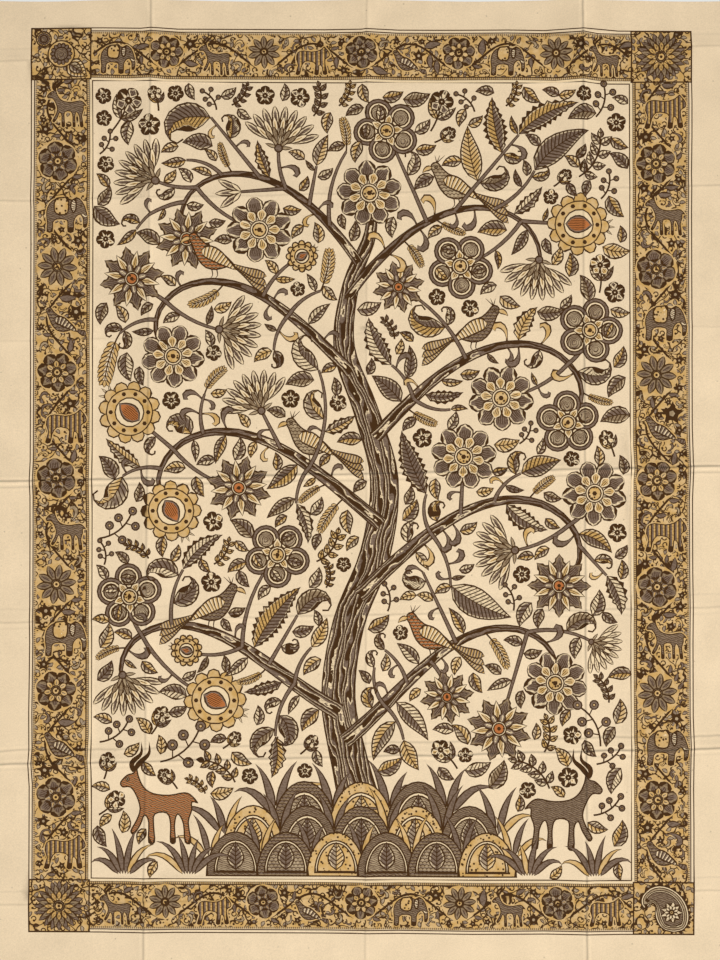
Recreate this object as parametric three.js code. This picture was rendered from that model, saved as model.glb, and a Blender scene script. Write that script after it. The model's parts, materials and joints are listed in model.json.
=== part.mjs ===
// A printed cotton panel lying on a flat surface, opened out after being kept folded.
// Millimetres, +Z up. The origin is under the middle of the cloth, on the surface it lies on.
// +X runs from selvedge to selvedge and +Y from the foot of the print to its head.
import * as THREE from "three";

// The cut: a full loom width, about two yards long
const CLOTH_WIDTH = 1524;
const CLOTH_LENGTH = 1810;
const CLOTH_THICKNESS = 1;

// The cut ends and the selvedges wander inwards by this much, in slow waves
const EDGE_WANDER = 3;
const SIDE_WAVES = 5;
const END_WAVES = 4;

// Folds left by storage: the width was folded in quarters, the length every FOLD_PITCH
const QUARTER = CLOTH_WIDTH / 4;
const FOLD_PITCH = 245;
const HEAD_FLAP = 95;
const HEAD = CLOTH_LENGTH / 2;

// The crosswise folds climb towards the right, except close to the cut ends
const FOLD_SLOPE = 0.021;
const END_EASE = 80;

// A ridge is not equally high all along: its lift drops by this share, this many times
const UNEVEN_SHARE = 0.35;
const UNEVEN_WAVES = 2.5;

// Ridges that run from foot to head, lower towards the foot
// at: place across the width; lean: how far the head end stands to the right of the foot end;
// head, foot: lift at those ends; left, right: width of each flank
const LENGTHWISE_RIDGES = [
  { at: -QUARTER, lean: 12, head: 9, foot: 3, left: 50, right: 38 },
  { at: 0, lean: 2, head: 6, foot: 3, left: 34, right: 42 },
  { at: QUARTER, lean: -6, head: 11, foot: 2.5, left: 66, right: 46 },
];

// Ridges that run from selvedge to selvedge
// fold: its number, counted from the head; left, right: lift at those selvedges;
// flank: width of each flank
const CROSSWISE_RIDGES = [
  { fold: 0, left: 3, right: 4, flank: 34 },
  { fold: 1, left: 3.5, right: 2, flank: 32 },
  { fold: 2, left: 1.5, right: 1.5, flank: 28 },
  { fold: 3, left: 5.5, right: 7.5, flank: 44 },
  { fold: 4, left: 2.5, right: 3, flank: 30 },
  { fold: 5, left: 7, right: 5.5, flank: 42 },
  { fold: 6, left: 2.5, right: 3, flank: 30 },
];

// Loose swells beside the ridges, where the cloth has not settled
// x, y: middle; across, along: half sizes; lift: height
const SWELLS = [
  { x: -470, y: 800, across: 110, along: 150, lift: 5 },
  { x: 250, y: 790, across: 120, along: 130, lift: 3.5 },
  { x: 560, y: 690, across: 130, along: 120, lift: 4 },
  { x: -600, y: -330, across: 120, along: 110, lift: 3.5 },
  { x: 190, y: -690, across: 150, along: 120, lift: 3 },
  { x: 620, y: -560, across: 110, along: 140, lift: 3 },
];

// Cross-sections on each side of a ridge, as shares of its flank, and the widest gap between any
const FLANK_STATIONS = [-1, -0.45, -0.15, 0, 0.15, 0.45, 1];
const WIDEST_SPAN = 110;

const CLOTH_COLOUR = 0xead3ab;
const CLOTH_ROUGHNESS = 0.92;

const mix = (from, to, share) => from + (to - from) * share;
const foldPlace = (fold) => HEAD - HEAD_FLAP - fold * FOLD_PITCH;

// How far a place on the width has moved to the right, for the ridges that lean
function leaning(x, y) {
  let moved = 0;
  for (const { at, lean } of LENGTHWISE_RIDGES)
    moved += lean * Math.max(0, 1 - Math.abs(x - at) / QUARTER);
  return moved * (y / CLOTH_LENGTH);
}

// How far a place on the length has climbed, for the folds that slope
function climbing(x, y) {
  return FOLD_SLOPE * x * Math.min(1, (HEAD - Math.abs(y)) / END_EASE);
}

// A crease in section: sharp at the top, easing into the flat cloth at the end of its flank
function ridgeSection(offset, left, right) {
  const share = Math.abs(offset) / (offset < 0 ? left : right);
  return share >= 1 ? 0 : (1 - share) ** 2;
}

function swellSection(x, y, swell) {
  const share = Math.hypot((x - swell.x) / swell.across, (y - swell.y) / swell.along);
  return share >= 1 ? 0 : Math.cos((share * Math.PI) / 2) ** 2;
}

// The share of its lift that a ridge keeps at a place along it; start shifts each ridge's waves
function kept(along, start) {
  return 1 - UNEVEN_SHARE * Math.sin((along * UNEVEN_WAVES + start) * Math.PI) ** 2;
}

// How far the underside stands above the surface at a place on the flat cloth
function lift(x, y) {
  const upTheLength = y / CLOTH_LENGTH + 0.5;
  const acrossTheWidth = x / CLOTH_WIDTH + 0.5;
  const heights = [];
  LENGTHWISE_RIDGES.forEach(({ at, head, foot, left, right }, order) => {
    const height = mix(foot, head, upTheLength ** 1.5) * kept(upTheLength, order / 3);
    heights.push(height * ridgeSection(x - at, left, right));
  });
  CROSSWISE_RIDGES.forEach(({ fold, left, right, flank }) => {
    const height = mix(left, right, acrossTheWidth) * kept(acrossTheWidth, fold / 3);
    heights.push(height * ridgeSection(y - foldPlace(fold), flank, flank));
  });
  for (const swell of SWELLS) heights.push(swell.lift * swellSection(x, y, swell));
  // Where folds cross, the higher one carries the cloth
  return Math.hypot(...heights);
}

// Places of the cross-sections along one side: every ridge's own, and plain ones between
function stations(size, ridges) {
  const places = [-size / 2, size / 2];
  for (const { at, left, right } of ridges)
    for (const share of FLANK_STATIONS) places.push(at + share * (share < 0 ? left : right));
  places.sort((a, b) => a - b);
  const filled = [places[0]];
  for (const place of places.slice(1)) {
    const start = filled.at(-1);
    const steps = Math.ceil((place - start) / WIDEST_SPAN);
    for (let step = 1; step <= steps; step++) filled.push(mix(start, place, step / steps));
  }
  return filled;
}

// How far an edge is drawn in at a place along it, from 0 to EDGE_WANDER
const drawnIn = (share, waves) => EDGE_WANDER * Math.sin(share * waves * Math.PI) ** 2;

function makeCloth() {
  const columns = stations(CLOTH_WIDTH, LENGTHWISE_RIDGES);
  const rows = stations(
    CLOTH_LENGTH,
    CROSSWISE_RIDGES.map(({ fold, flank }) => ({ at: foldPlace(fold), left: flank, right: flank })),
  );
  const columnCount = columns.length - 1;
  const rowCount = rows.length - 1;
  const sheet = new THREE.BoxGeometry(1, 1, CLOTH_THICKNESS, columnCount, rowCount, 1);
  const position = sheet.getAttribute("position");
  for (let i = 0; i < position.count; i++) {
    const flatX = columns[Math.round((position.getX(i) + 0.5) * columnCount)];
    const flatY = rows[Math.round((position.getY(i) + 0.5) * rowCount)];
    const narrower = (2 * drawnIn(flatY / CLOTH_LENGTH + 0.5, SIDE_WAVES)) / CLOTH_WIDTH;
    const shorter = (2 * drawnIn(flatX / CLOTH_WIDTH + 0.5, END_WAVES)) / CLOTH_LENGTH;
    position.setXYZ(
      i,
      (flatX + leaning(flatX, flatY)) * (1 - narrower),
      (flatY + climbing(flatX, flatY)) * (1 - shorter),
      position.getZ(i) + CLOTH_THICKNESS / 2 + lift(flatX, flatY),
    );
  }
  sheet.computeVertexNormals();
  const printedCotton = new THREE.MeshStandardMaterial({
    color: CLOTH_COLOUR,
    roughness: CLOTH_ROUGHNESS,
    metalness: 0,
  });
  const cloth = new THREE.Mesh(sheet, printedCotton);
  cloth.name = "cloth";
  return cloth;
}

const panel = new THREE.Group();
panel.add(makeCloth());

export default panel;
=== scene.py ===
import cmath
import json
import math
import random
from collections import namedtuple
from itertools import product

import bpy
import numpy as np
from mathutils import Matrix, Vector
from mathutils.geometry import delaunay_2d_cdt

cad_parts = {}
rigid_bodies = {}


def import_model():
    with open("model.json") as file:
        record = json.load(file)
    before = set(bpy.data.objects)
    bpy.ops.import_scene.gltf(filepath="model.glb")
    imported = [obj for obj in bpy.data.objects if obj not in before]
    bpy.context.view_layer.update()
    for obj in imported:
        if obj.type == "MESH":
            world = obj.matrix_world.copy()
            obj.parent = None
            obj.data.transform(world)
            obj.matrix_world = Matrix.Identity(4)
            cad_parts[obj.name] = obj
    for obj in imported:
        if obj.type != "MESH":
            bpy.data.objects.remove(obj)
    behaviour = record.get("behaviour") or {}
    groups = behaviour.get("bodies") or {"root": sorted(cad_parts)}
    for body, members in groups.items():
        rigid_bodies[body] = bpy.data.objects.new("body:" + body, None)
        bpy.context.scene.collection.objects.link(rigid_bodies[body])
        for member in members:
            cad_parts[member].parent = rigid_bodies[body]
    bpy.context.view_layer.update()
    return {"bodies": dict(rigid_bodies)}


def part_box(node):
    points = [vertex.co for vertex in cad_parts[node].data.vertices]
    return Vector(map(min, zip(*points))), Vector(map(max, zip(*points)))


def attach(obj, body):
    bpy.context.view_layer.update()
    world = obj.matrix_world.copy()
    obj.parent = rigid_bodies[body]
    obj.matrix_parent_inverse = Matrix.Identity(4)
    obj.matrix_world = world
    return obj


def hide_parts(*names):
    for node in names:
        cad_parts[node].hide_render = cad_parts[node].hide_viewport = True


# A printed cotton panel lying on the floor, seen from straight above.
# The frame is in metres. The print is drawn on the flat cloth in millimetres, as complex numbers:
# the real part runs from selvedge to selvedge and the imaginary part from foot to head.
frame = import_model()
MM = 0.001

# The cut cloth
CLOTH_LOW, CLOTH_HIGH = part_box("cloth")
CLOTH_WIDTH = round((CLOTH_HIGH[0] - CLOTH_LOW[0]) / MM)
CLOTH_LENGTH = round((CLOTH_HIGH[1] - CLOTH_LOW[1]) / MM)
CLOTH_THICKNESS = 1.0
EDGE_WANDER = 3.0
SIDE_WAVES = 5
END_WAVES = 4

# The folds left by storage, as in the solid
HEAD = CLOTH_LENGTH / 2
QUARTER = CLOTH_WIDTH / 4
FOLD_PITCH = 245
HEAD_FLAP = 95
FOLD_SLOPE = 0.021
END_EASE = 80
UNEVEN_SHARE = 0.35
UNEVEN_WAVES = 2.5

# Ridges from foot to head: place, lean, lift at the head and foot, width of the left and right flanks
LENGTHWISE_RIDGES = [
    (-QUARTER, 12, 9, 3, 50, 38),
    (0, 2, 6, 3, 34, 42),
    (QUARTER, -6, 11, 2.5, 66, 46),
]
# Ridges from selvedge to selvedge: number from the head, lift at the left and right, flank
CROSSWISE_RIDGES = [
    (0, 3, 4, 34),
    (1, 3.5, 2, 32),
    (2, 1.5, 1.5, 28),
    (3, 5.5, 7.5, 44),
    (4, 2.5, 3, 30),
    (5, 7, 5.5, 42),
    (6, 2.5, 3, 30),
]
# Loose swells: middle, half sizes, lift
SWELLS = [
    (-470, 800, 110, 150, 5),
    (250, 790, 120, 130, 3.5),
    (560, 690, 130, 120, 4),
    (-600, -330, 120, 110, 3.5),
    (190, -690, 150, 120, 3),
    (620, -560, 110, 140, 3),
]

# The print on the cloth
PRINT_WIDTH = 1156
PRINT_HEIGHT = 1576
PRINT_HEAD_MARGIN = 52
PRINT_CENTRE = complex(-8, HEAD - PRINT_HEAD_MARGIN - PRINT_HEIGHT / 2)
PRINT_SKEW = -0.0045
SIDE_BORDER = 110
END_BORDER = 95
FIELD_WIDTH = PRINT_WIDTH - 2 * SIDE_BORDER
FIELD_HEIGHT = PRINT_HEIGHT - 2 * END_BORDER

# Dyes and ways of filling a shape with lines, as numbers that the material reads
GROUND, BLACK, GREY, OCHRE, RUST, PALE, LIGHT_GREY = range(7)
PLAIN, BARK, VEINS, PETAL, BANDS, SCALES, SPOTS, FUR, FOLIAGE, BACK = range(10)
LINE = 2.5
SMALL_LINE = 1.7
STEM_HALF = 1.6
NO_EDGE = 1000.0
INK_STEP = 6
WIDE_STROKE = 14

rng = random.Random(11)


# Curves and outlines

def from_angle(degrees):
    return cmath.exp(1j * math.radians(degrees))


def heading_of(way):
    return math.degrees(cmath.phase(way))


def smooth(points, steps=3, closed=False):
    """A rounded curve through the points."""
    points = np.array(points, complex)
    if closed:
        padded = np.concatenate([points[-1:], points, points[:2]])
    else:
        padded = np.concatenate([[2 * points[0] - points[1]], points, [2 * points[-1] - points[-2]]])
    t = np.arange(steps) / steps
    spans = []
    for a, b, c, d in zip(padded, padded[1:], padded[2:], padded[3:]):
        bow = 2 * a - 5 * b + 4 * c - d
        twist = 3 * b - a - 3 * c + d
        spans.append((2 * b + (c - a) * t + bow * t**2 + twist * t**3) / 2)
    curve = np.concatenate(spans)
    return curve if closed else np.append(curve, points[-1])


def grow(start, heading, length, bend=0.0, curl=0.0, steps=8):
    """A spine that turns by bend degrees evenly, and by curl degrees mostly near its end."""
    share = (np.arange(steps - 1) + 0.5) / (steps - 1)
    headings = np.radians(heading + bend * share + curl * share**3)
    moves = length / (steps - 1) * np.exp(1j * headings)
    return start + np.concatenate([[0], np.cumsum(moves)])


def headings_along(spine):
    way = np.gradient(spine)
    return way / np.abs(way)


def run_along(spine):
    """How far along the spine each of its points is."""
    return np.concatenate([[0], np.cumsum(np.abs(np.diff(spine)))])


def sides_of(spine, left, right):
    """The outline of a band along a spine, this far to its left and right."""
    side = 1j * headings_along(spine)
    return np.concatenate([spine + side * left, (spine - side * right)[::-1]])


def swelled(outline, by):
    """The closed outline moved outwards, or inwards where by is negative."""
    way = np.roll(outline, -1) - np.roll(outline, 1)
    outward = -1j * math.copysign(1, turning_area(outline)) * way / np.maximum(np.abs(way), 1e-6)
    moved = outline + by * outward
    closed = np.append(outline, outline[0])
    distance = np.abs(on_spine(moved, closed, np.zeros(len(closed)), 1.0)[:, 1])
    return moved[distance > 0.93 * abs(by)]


def fullness_along(share, fullest, blunt):
    """How wide a blade is at each share of its length, 1 at its fullest."""
    power = math.log(0.5) / math.log(fullest)
    return np.clip(np.sin(np.pi * share**power), 0, 1) ** blunt


def blade_half(width, steps, fullest=0.4, blunt=1.0):
    """Half widths of a petal or leaf along its spine; fullest is where it is widest."""
    return width / 2 * fullness_along(np.linspace(0, 1, steps), fullest, blunt)


# Free room on the print

class Room:
    """How far each place on the print is from the nearest ink, kept on a grid."""

    CELL = 3.2
    REACH = 64.0

    def __init__(self):
        self.corner = -complex(PRINT_WIDTH, PRINT_HEIGHT) / 2
        across = np.arange(0, PRINT_WIDTH + self.CELL, self.CELL)
        up = np.arange(0, PRINT_HEIGHT + self.CELL, self.CELL)
        self.places = self.corner + across[None, :] + 1j * up[:, None]
        self.free = np.full(self.places.shape, self.REACH)

    def cells(self, points):
        offset = (np.atleast_1d(points) - self.corner) / self.CELL
        rows = np.clip(np.rint(offset.imag).astype(int), 0, self.places.shape[0] - 1)
        columns = np.clip(np.rint(offset.real).astype(int), 0, self.places.shape[1] - 1)
        return rows, columns

    def take(self, points):
        span = int(self.REACH / self.CELL)
        for row, column, point in zip(*self.cells(points), np.atleast_1d(points)):
            window = np.s_[max(0, row - span):row + span, max(0, column - span):column + span]
            np.minimum(self.free[window], np.abs(self.places[window] - point), out=self.free[window])

    def at(self, points):
        return self.free[self.cells(points)]

    def widest(self, allowed):
        """The place with the most room among those allowed, and how much it has."""
        room = np.where(allowed, self.free, 0)
        spot = np.unravel_index(np.argmax(room), room.shape)
        return self.places[spot], room[spot]


room = Room()


# Shapes, kept in the order that they are dyed: a later one covers an earlier one

Shape = namedtuple("Shape", "outline middle dye second figure locate")
shapes = []


def turning_area(outline):
    """Twice the area that the outline goes round, positive where it goes anticlockwise."""
    return float(np.sum((np.conj(outline) * np.roll(outline, -1)).imag))


def crosses_itself(outline):
    starts = outline
    ways = np.roll(outline, -1) - outline
    gaps = starts[None, :] - starts[:, None]
    both = (np.conj(ways)[:, None] * ways[None, :]).imag
    both = np.where(np.abs(both) < 1e-6, np.inf, both)
    first = (np.conj(gaps) * ways[None, :]).imag / both
    second = (np.conj(gaps) * ways[:, None]).imag / both
    near, far = 1e-6, 1 - 1e-6
    return bool(np.any((first > near) & (first < far) & (second > near) & (second < far)))


def add_shape(outline, middle, dye, second, figure, locate):
    """Keeps a shape, anticlockwise, unless its outline crosses itself."""
    gap = np.abs(outline - np.roll(outline, 1))
    outline = outline[gap > 0.05]
    if len(outline) < 3 or crosses_itself(outline):
        return
    if turning_area(outline) < 0:
        outline = outline[::-1]
    shapes.append(Shape(outline, middle, dye, dye if second is None else second, figure, locate))


def on_spine(points, spine, half, pitch):
    """Distance along a spine in pitches, signed distance from it, and half width there."""
    steps = np.diff(spine)
    lengths = np.abs(steps)
    run = run_along(spine)
    offset = (points[:, None] - spine[:-1]) * np.conj(steps) / lengths
    along = np.clip(offset.real, 0, lengths)
    distance = np.abs(offset - along)
    nearest = np.argmin(distance, axis=1)
    row = np.arange(len(points))
    place = run[nearest] + along[row, nearest]
    across = np.copysign(distance[row, nearest], offset[row, nearest].imag)
    return np.column_stack([place / pitch, across, np.interp(place, run, half)])


def stroke(spine, half, dye, second=None, figure=PLAIN, pitch=1.0, cut_ends=False, lined=True):
    """A shape drawn along a spine, with a dark line along its edges where it is lined."""
    spine = np.asarray(spine, complex)
    half = np.broadcast_to(np.asarray(half, float), spine.shape)
    run = run_along(spine)
    edge = half if cut_ends else np.minimum(half, 3 * np.minimum(run, run[-1] - run))
    if not lined:
        edge = np.full(len(spine), NO_EDGE)
    unit = run[-1] if pitch == "length" else pitch
    outline = sides_of(spine, half, half)
    add_shape(outline, None, dye, second, figure, lambda points: on_spine(points, spine, edge, unit))
    close = np.linspace(0, run[-1], int(run[-1] / INK_STEP) + 3)
    middle = np.interp(close, run, spine)
    reach = np.interp(close, run, 1j * headings_along(spine) * half)
    for share in (1, 0.66, 0.33, 0) if half.max() > WIDE_STROKE else (1, 0.4):
        room.take(np.concatenate([middle + reach * share, middle - reach * share]))


def disc(centre, radius, dye, second=None, figure=PLAIN, corners=12):
    outline = centre + radius * np.exp(2j * np.pi * np.arange(corners) / corners)

    def locate(points):
        offset = points - centre
        return np.column_stack([offset.imag, np.abs(offset), np.full(len(points), radius)])

    add_shape(outline, centre, dye, second, figure, locate)
    room.take(outline[::2])


def patch(outline, dye, second=None, figure=PLAIN, heading=1 + 0j):
    """A shape without a line round it; its lines follow the heading."""
    outline = np.asarray(outline, complex)
    middle = outline.mean()

    def locate(points):
        offset = (points - middle) / heading
        return np.column_stack([offset.real, offset.imag, np.full(len(points), NO_EDGE)])

    add_shape(outline, None, dye, second, figure, locate)
    room.take(np.concatenate([middle + (outline - middle) * share for share in (1, 0.7, 0.4)])[::2])


def lined_patch(outline, dye, second=None, figure=PLAIN, heading=1 + 0j, halo=0.0, line=LINE):
    """A shape with a dark line round it, and one of clear ground round that where there is a halo."""
    if halo:
        patch(swelled(outline, halo), OCHRE)
        line = min(line, SMALL_LINE)
    patch(outline, BLACK)
    patch(swelled(outline, -line), dye, second, figure, heading)


# Leaves and stems

def leaf(base, heading, length, width, bend, dye, second):
    spine = grow(base, heading, length, bend)
    stroke(spine, blade_half(width, len(spine)), dye, second, VEINS)


def hooked_leaf(base, heading, length, width, bend, dye, second):
    """A leaf whose tip runs out into a thin curl."""
    steps = 11
    spine = grow(base, heading, length * 1.06, bend, math.copysign(230, bend), steps)
    share = np.linspace(0, 1, steps)
    blade = width / 2 * np.sin(np.pi * np.clip(share / 0.76, 0, 1) ** 0.8)
    stroke(spine, np.maximum(blade, 1.5 * (share > 0.4)), dye, second, VEINS)


def toothed_leaf(base, heading, length, width, bend, dye, second):
    """A long leaf with a saw edge."""
    steps = 2 * max(5, int(length / 11)) + 1
    spine = grow(base, heading, length, bend, steps=steps)
    half = blade_half(width, steps, 0.42)
    half[1:-1:2] *= 0.72
    stroke(spine, half, dye, second, VEINS)


def comma_leaf(base, heading, length, turn, dye):
    """A small leaf on a stalk that curls over at its tip."""
    steps = 9
    spine = grow(base, heading, length * 1.3, turn * 40, turn * 200, steps)
    half = blade_half(length * 0.34, steps, 0.66, 0.8)
    half[:steps // 2 + 1] = np.maximum(half[:steps // 2 + 1], 1.7)
    stroke(spine, half, dye)


def fern(base, heading, length, width, bend, dye, second):
    """A stem with pairs of leaflets."""
    spine = grow(base, heading, length, bend, steps=12)
    ways = headings_along(spine)
    for number in range(2, 11):
        reach = width / 2 * math.sin(math.pi * (number + 1) / 13) ** 0.7
        for side in (1, -1):
            leaflet = grow(spine[number], heading_of(ways[number]) + side * 52, reach, -side * 25, steps=6)
            stroke(leaflet, blade_half(length / 11.5, 6, 0.55), dye, second)
    tip = grow(spine[-2], heading_of(ways[-1]), length * 0.14, steps=6)
    stroke(tip, blade_half(length / 11, 6, 0.5), dye, second)
    stroke(spine[:-1], np.linspace(1.5, 0.9, 11), BLACK, cut_ends=True)


LEAF_DYES = [(GREY, OCHRE), (OCHRE, GREY), (GREY, LIGHT_GREY), (GREY, GREY), (GREY, PALE), (OCHRE, OCHRE)]


def leaf_fits(base, heading, length, width, bend, spare=1.6):
    spine = grow(base, heading, length, bend)
    half = blade_half(width, len(spine))
    clear = np.all(room.at(spine[2:]) > half[2:] + spare)
    return bool(clear) and bool(room.at(spine[-1])[0] > spare + 2)


def fitted_leaf(base, heading, side, lengths):
    """The longest leaf that finds room at a place on a branch, if one does."""
    dye, second = rng.choice(LEAF_DYES)
    for length in lengths:
        slim = rng.choice((0.38, 0.44, 0.5))
        for turn in (38, 60, 82):
            bend = -side * rng.choice((20, 45, -25))
            toward = heading + side * turn
            if leaf_fits(base, toward, length, length * slim, bend):
                draw_leaf_kind(base, toward, length, length * slim, bend, dye, second, side)
                return


def draw_leaf_kind(base, toward, length, width, bend, dye, second, side):
    chance = rng.random()
    if length > 60 and chance < 0.25:
        toothed_leaf(base, toward, length, width, bend, dye, second)
    elif length > 52 and chance < 0.4:
        fern(base, toward, length, width * 1.15, bend, OCHRE, OCHRE)
    elif length > 40 and chance < 0.8:
        hooked_leaf(base, toward, length, width, bend, dye, second)
    elif length < 42 and chance < 0.75:
        comma_leaf(base, toward, length, side, dye)
    else:
        leaf(base, toward, length, width, bend, dye, second)


# Flowers; each takes its middle, its radius and the heading of its first petal

def petal_ring(centre, inner, outer, count, turn, dye, second, fullness=1.1, fullest=0.62, blunt=0.6,
               first=0, last=360, toothed=False):
    """Petals round a middle, or over part of the way round. Widths are shares of the room each has."""
    width = fullness * 2 * math.pi * (inner + (outer - inner) * fullest) / count
    sweep = last - first
    share = np.linspace(0, 1, 11) if toothed else (1 - np.cos(np.linspace(0, np.pi, 7))) / 2
    half = width * sweep / 720 * fullness_along(share, fullest, blunt)
    if toothed:
        half[1:-1:2] *= 0.74
    for number in range(count):
        toward = from_angle(turn + first + sweep * number / (count if sweep == 360 else count - 1))
        spine = centre + toward * (inner + (outer - inner) * share)
        stroke(spine, half, dye, second, PETAL, "length")


def flower_heart(centre, radius, dye):
    disc(centre, radius, PALE)
    disc(centre, radius * 0.76, dye, dye, SPOTS)
    disc(centre, radius * 0.26, BLACK, corners=6)


def rosette(centre, radius, turn):
    petal_ring(centre, radius * 0.3, radius, 9, turn, GREY, PALE)
    petal_ring(centre, radius * 0.22, radius * 0.64, 9, turn + 20, OCHRE, PALE)
    flower_heart(centre, radius * 0.3, OCHRE)


def star_flower(centre, radius, turn):
    petal_ring(centre, radius * 0.2, radius, 8, turn, GREY, LIGHT_GREY, 1.2, 0.42, 0.9, toothed=True)
    petal_ring(centre, radius * 0.2, radius * 0.86, 8, turn + 22.5, OCHRE, PALE, 0.8, 0.4, 1.0)
    petal_ring(centre, radius * 0.1, radius * 0.5, 8, turn, PALE, GREY, 1.0, 0.55, 0.8)
    flower_heart(centre, radius * 0.24, RUST)


def round_flower(centre, radius, turn):
    """Five broad petals, each ringed."""
    for number in range(5):
        middle = centre + radius * 0.58 * from_angle(turn + 72 * number)
        disc(middle, radius * 0.43, GREY, corners=16)
        disc(middle, radius * 0.33, PALE, corners=14)
        disc(middle, radius * 0.25, LIGHT_GREY, GREY, FUR, corners=12)
    petal_ring(centre, radius * 0.12, radius * 0.5, 5, turn + 36, OCHRE, PALE, 0.8, 0.5, 0.8)
    flower_heart(centre, radius * 0.27, OCHRE)


def fan_flower(centre, radius, turn):
    """A half flower seen from the side, with a fringe."""
    radius = radius * 0.86
    foot = centre - radius * 0.55 * from_angle(turn)
    petal_ring(foot, radius * 0.5, radius * 1.5, 9, turn, GREY, PALE, 1.1, 0.6, 0.6, -62, 62)
    petal_ring(foot, radius * 0.35, radius * 1.12, 7, turn, OCHRE, PALE, 1.1, 0.6, 0.7, -55, 55)
    petal_ring(foot, radius * 0.2, radius * 0.78, 5, turn, GREY, LIGHT_GREY, 1.2, 0.6, 0.7, -46, 46)
    petal_ring(foot, 0.0, radius * 0.5, 5, turn, OCHRE, LIGHT_GREY, 1.1, 0.5, 0.9, -80, 80)
    disc(foot, radius * 0.16, GREY)


def fruit(centre, radius, turn):
    """A round fruit with a scalloped rim, dots, a heart and a small crown."""
    toward = from_angle(turn)
    crown = centre + toward * radius * 0.7
    petal_ring(crown, 0.0, radius * 0.42, 5, turn, GREY, PALE, 0.9, 0.5, 1.0, -70, 70)
    for number in range(12):
        disc(centre + radius * 0.74 * from_angle(turn + 30 * number), radius * 0.22, OCHRE, corners=8)
    disc(centre, radius * 0.72, OCHRE, corners=18)
    for number in range(10):
        disc(centre + radius * 0.57 * from_angle(36 * number), radius * 0.07, BLACK, corners=6)
    disc(centre, radius * 0.46, PALE, corners=14)
    spine = centre + toward * radius * np.linspace(-0.4, 0.42, 7)
    stroke(spine, blade_half(radius * 0.56, 7, 0.45, 0.8), RUST, GREY, PETAL, "length")


def bud(centre, radius, turn):
    foot = centre - radius * 0.9 * from_angle(turn)
    petal_ring(foot, 0.0, radius * 1.9, 3, turn, GREY, PALE, 1.5, 0.55, 0.8, -32, 32)
    petal_ring(foot, 0.0, radius * 1.0, 3, turn, OCHRE, PALE, 1.4, 0.5, 0.9, -45, 45)


def blossom(centre, radius, turn):
    petal_ring(centre, radius * 0.2, radius, 5, turn, rng.choice((GREY, OCHRE, GREY)), PALE)
    disc(centre, radius * 0.3, BLACK, corners=8)
    disc(centre, radius * 0.14, PALE, corners=5)


BIG_FLOWERS = [rosette, fan_flower, star_flower, fruit, round_flower]


# Birds and beasts: charts on a square of 100, facing left, with their feet at 0

BIRD_BODY = [
    (0, 84), (6, 94), (17, 94), (25, 84), (38, 72), (60, 62), (84, 42), (96, 26),
    (80, 24), (58, 18), (36, 22), (20, 38), (12, 56), (6, 72),
]
ANTELOPE = [
    (5, 70), (13, 79), (21, 82), (25, 91), (27, 79), (33, 66), (44, 58), (62, 56), (80, 59), (89, 55),
    (96, 46), (89, 47), (89, 38), (85, 24), (88, 1), (80, 1), (78, 22), (72, 33), (69, 20), (70, 1),
    (63, 1), (63, 22), (59, 34), (46, 33), (45, 20), (46, 1), (38, 1), (38, 24), (34, 32), (30, 22),
    (22, 10), (17, 14), (24, 27), (28, 40), (24, 54), (17, 64), (8, 64),
]
ELEPHANT = [
    (5, 12), (2, 30), (6, 52), (14, 70), (27, 79), (37, 73), (56, 79), (80, 72), (93, 57), (96, 38),
    (94, 20), (95, 1), (81, 1), (80, 22), (71, 29), (53, 28), (48, 22), (48, 1), (34, 1), (33, 24),
    (28, 35), (19, 40), (13, 28), (13, 12),
]
BIG_CAT = [
    (3, 54), (7, 65), (13, 72), (18, 78), (24, 73), (33, 67), (52, 63), (76, 66), (91, 60), (95, 42),
    (90, 26), (97, 3), (85, 2), (80, 22), (70, 36), (52, 35), (43, 28), (46, 3), (34, 2), (32, 26),
    (25, 22), (22, 3), (10, 4), (15, 28), (15, 42), (7, 47),
]
LEAST_EYE = 1.6


class Stance:
    """Puts chart places on the print: where the foot of the chart is, its size and its facing."""

    def __init__(self, foot, size, facing):
        self.foot = foot
        self.size = size / 100
        self.facing = facing

    def put(self, *places):
        marks = np.array([complex(x - 50, y) for x, y in places])
        return self.foot + self.size * (self.facing * marks.real + 1j * marks.imag)

    def outline(self, chart):
        return smooth(self.put(*chart), 3 if self.size > 1 else 2, closed=True)


def line_through(places, width):
    spine = smooth(places, 4)
    stroke(spine, width / 2 * np.linspace(1, 0.3, len(spine)), BLACK, cut_ends=True)


def eye(place, size):
    disc(place, size, PALE, corners=8)
    disc(place, size * 0.5, BLACK, corners=6)


def bird(foot, size, facing, dye, tail_dye, halo=0.0, tail=60, droop=1.0):
    stance = Stance(foot, size, facing)
    for drop in (-50, -32, -14):
        middle = (100 + tail * 0.4, 20 + drop * droop * 0.3)
        spine = smooth(stance.put((78, 36), middle, (100 + tail, 20 + drop * droop)), 5)
        if halo:
            stroke(spine, blade_half(size * 0.2 + 2 * halo, len(spine), 0.7, 0.6), OCHRE, lined=False)
        stroke(spine, blade_half(size * 0.2, len(spine), 0.7, 0.6), tail_dye, GREY, BANDS, 5.0)
    for x in (48, 58):
        line_through(stance.put((x, 22), (x + 2, 8), (x - 4, 0)), 2.4)
    lined_patch(stance.outline(BIRD_BODY), dye, LIGHT_GREY, SCALES, halo=halo)
    wing = smooth(stance.put((26, 58), (50, 52), (74, 36), (98, 18)), 4)
    stroke(wing, blade_half(size * 0.3, len(wing), 0.32, 0.8), tail_dye, PALE, BANDS, 6.0)
    beak = stance.put((4, 84), (-8, 80), (-16, 72))
    stroke(smooth(beak, 3), blade_half(size * 0.12, 7, 0.3), OCHRE)
    for lean in (-4, 6, 16):
        line_through(stance.put((14, 93), (14 + lean, 108)), 2.2)
    eye(stance.put((12, 85))[0], size * 0.045)


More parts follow.
